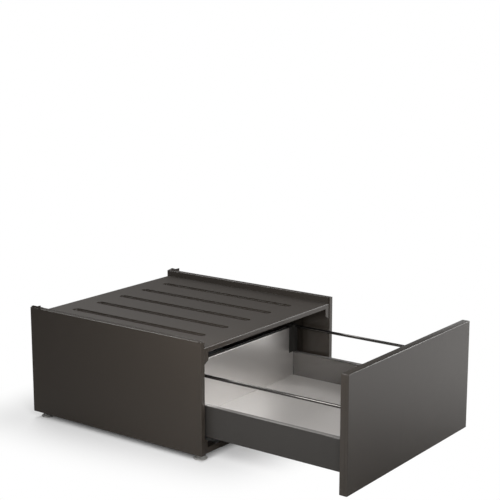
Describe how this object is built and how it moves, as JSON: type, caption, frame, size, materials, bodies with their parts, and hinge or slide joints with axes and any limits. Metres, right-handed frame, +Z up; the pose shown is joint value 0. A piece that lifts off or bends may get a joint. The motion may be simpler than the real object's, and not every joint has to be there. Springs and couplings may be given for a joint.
{
  "type": "washer pedestal drawer",
  "caption": "Low steel pedestal for a washing machine, with levelling feet, a rimmed deck and a wide double-walled drawer with side railings on telescopic ball runners.",
  "frame": {"origin": "on the floor, below the middle of the box round the whole part with its drawer open as in the picture", "axes": "+X to the right seen from the front, +Y to the back, +Z up; the drawer opens along -Y"},
  "size_m": [0.596, 1.03, 0.324],
  "materials": {
    "anthracite": "satin to glossy anthracite powder coat with a warm tone",
    "front_paint": "satin anthracite paint, a little lighter than the cabinet",
    "zinc": "bright zinc-plated rolled steel",
    "satin_steel": "satin metallic coat, light grey with a warm tone",
    "dark_plastic": "fine-grained dark moulding",
    "pale_plastic": "light grey moulding",
    "board": "light grey melamine-faced chipboard",
    "core_board": "raw chipboard, sealed inside the front",
    "rubber": "soft black rubber"
  },
  "bodies": {
    "cabinet": {"side_panel_left": "anthracite", "side_panel_right": "anthracite", "deck_plate": "anthracite", "front_top_rail": "anthracite", "rear_top_rail": "anthracite", "front_bottom_rail": "anthracite", "rear_bottom_rail": "anthracite", "back_panel": "anthracite", "rear_stop_left": "anthracite", "rear_stop_right": "anthracite", "cabinet_runner_left": "zinc", "cabinet_runner_right": "zinc", "runner_holder_front_left": "zinc", "runner_holder_front_right": "zinc", "runner_holder_rear_left": "zinc", "runner_holder_rear_right": "zinc", "foot_bracket_front_left": "anthracite", "foot_bracket_front_right": "anthracite", "foot_bracket_rear_left": "anthracite", "foot_bracket_rear_right": "anthracite", "foot_nut_front_left": "zinc", "foot_nut_front_right": "zinc", "foot_nut_rear_left": "zinc", "foot_nut_rear_right": "zinc"},
    "drawer": {"drawer_runner_left": "zinc", "drawer_runner_right": "zinc", "drawer_side_left": "anthracite", "drawer_side_right": "anthracite", "drawer_floor": "board", "back_wall": "satin_steel", "back_bracket_left": "dark_plastic", "back_bracket_right": "dark_plastic", "front_bracket_left": "zinc", "front_bracket_right": "zinc", "railing_left": "anthracite", "railing_right": "anthracite", "railing_socket_left": "dark_plastic", "railing_socket_right": "dark_plastic", "front_outer_panel": "front_paint", "front_core": "core_board", "front_inner_panel": "front_paint", "lower_bumper_left": "rubber", "lower_bumper_right": "rubber", "upper_bumper_left": "rubber", "upper_bumper_right": "rubber"},
    "middle_runner_left": {"middle_runner_left": "zinc"},
    "outer_ball_cage_left": {"outer_ball_cage_left": "dark_plastic"},
    "inner_ball_cage_left": {"inner_ball_cage_left": "dark_plastic"},
    "middle_runner_right": {"middle_runner_right": "zinc"},
    "outer_ball_cage_right": {"outer_ball_cage_right": "dark_plastic"},
    "inner_ball_cage_right": {"inner_ball_cage_right": "dark_plastic"},
    "foot_front_left": {"foot_stud_front_left": "zinc", "foot_pad_front_left": "pale_plastic"},
    "foot_front_right": {"foot_stud_front_right": "zinc", "foot_pad_front_right": "pale_plastic"},
    "foot_rear_left": {"foot_stud_rear_left": "zinc", "foot_pad_rear_left": "pale_plastic"},
    "foot_rear_right": {"foot_stud_rear_right": "zinc", "foot_pad_rear_right": "pale_plastic"}
  },
  "joints": [
    {"name": "drawer_slide", "type": "slide", "parent": "cabinet", "child": "drawer", "axis": [0, -1, 0], "range_m": [-0.406, 0.044]},
    {"name": "middle_runner_left_slide", "type": "slide", "parent": "cabinet", "child": "middle_runner_left", "axis": [0, -1, 0], "range_m": [-0.203, 0.022]},
    {"name": "outer_ball_cage_left_slide", "type": "slide", "parent": "cabinet", "child": "outer_ball_cage_left", "axis": [0, -1, 0], "range_m": [-0.1015, 0.011]},
    {"name": "inner_ball_cage_left_slide", "type": "slide", "parent": "cabinet", "child": "inner_ball_cage_left", "axis": [0, -1, 0], "range_m": [-0.3045, 0.033]},
    {"name": "middle_runner_right_slide", "type": "slide", "parent": "cabinet", "child": "middle_runner_right", "axis": [0, -1, 0], "range_m": [-0.203, 0.022]},
    {"name": "outer_ball_cage_right_slide", "type": "slide", "parent": "cabinet", "child": "outer_ball_cage_right", "axis": [0, -1, 0], "range_m": [-0.1015, 0.011]},
    {"name": "inner_ball_cage_right_slide", "type": "slide", "parent": "cabinet", "child": "inner_ball_cage_right", "axis": [0, -1, 0], "range_m": [-0.3045, 0.033]},
    {"name": "foot_front_left_height", "type": "slide", "parent": "cabinet", "child": "foot_front_left", "axis": [0, 0, -1], "range_m": [0, 0.015]},
    {"name": "foot_front_right_height", "type": "slide", "parent": "cabinet", "child": "foot_front_right", "axis": [0, 0, -1], "range_m": [0, 0.015]},
    {"name": "foot_rear_left_height", "type": "slide", "parent": "cabinet", "child": "foot_rear_left", "axis": [0, 0, -1], "range_m": [0, 0.015]},
    {"name": "foot_rear_right_height", "type": "slide", "parent": "cabinet", "child": "foot_rear_right", "axis": [0, 0, -1], "range_m": [0, 0.015]}
  ],
  "couplings": [
    {"joint": "middle_runner_left_slide", "follows": "drawer_slide", "ratio": 0.5},
    {"joint": "outer_ball_cage_left_slide", "follows": "drawer_slide", "ratio": 0.25},
    {"joint": "inner_ball_cage_left_slide", "follows": "drawer_slide", "ratio": 0.75},
    {"joint": "middle_runner_right_slide", "follows": "drawer_slide", "ratio": 0.5},
    {"joint": "outer_ball_cage_right_slide", "follows": "drawer_slide", "ratio": 0.25},
    {"joint": "inner_ball_cage_right_slide", "follows": "drawer_slide", "ratio": 0.75}
  ]
}
